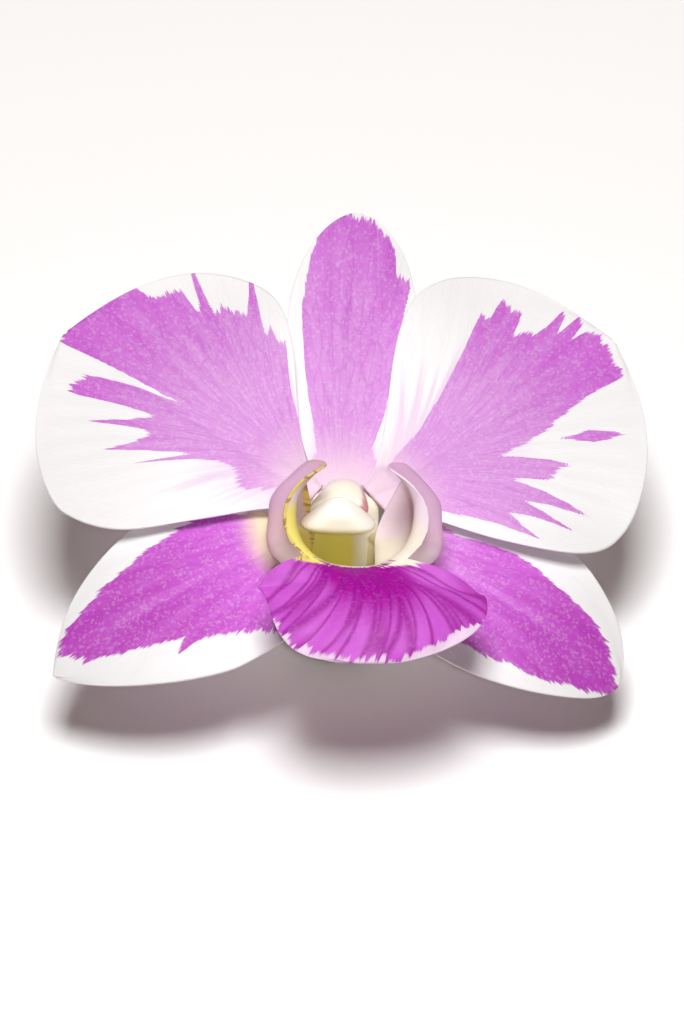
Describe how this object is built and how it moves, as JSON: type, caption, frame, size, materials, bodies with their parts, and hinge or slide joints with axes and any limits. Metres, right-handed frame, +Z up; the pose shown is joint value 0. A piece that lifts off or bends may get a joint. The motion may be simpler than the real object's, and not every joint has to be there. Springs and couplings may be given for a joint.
{
  "type": "orchid flower",
  "caption": "Single white and purple orchid bloom with broad petals, a cupped lip and a chin, lying face up as picked.",
  "frame": {"origin": "centre of the small flat spot under the chin's tip, where the flower rests", "axes": "+X across the petals to the flower's right as seen from the front, +Y towards the dorsal sepal, +Z up out of its face"},
  "size_m": [0.0653, 0.0595, 0.0303],
  "materials": {
    "petals": "soft petal, white with a feathered purple flare",
    "sepals": "soft sepal, purple with white margins",
    "lip": "soft lip, magenta with darker veins and a yellow-green throat",
    "column": "waxy, cream",
    "pollen": "waxy, yellow",
    "stalk": "smooth, pale green"
  },
  "bodies": {
    "root": {"petal_right": "petals", "petal_left": "petals", "dorsal_sepal": "sepals", "lateral_sepal_right": "sepals", "lateral_sepal_left": "sepals", "labellum": "lip", "column": "column", "anther_cap": "column", "pollinium_1": "pollen", "pollinium_2": "pollen", "pollinium_3": "pollen", "pollinium_4": "pollen", "pedicel": "stalk"}
  },
  "joints": []
}
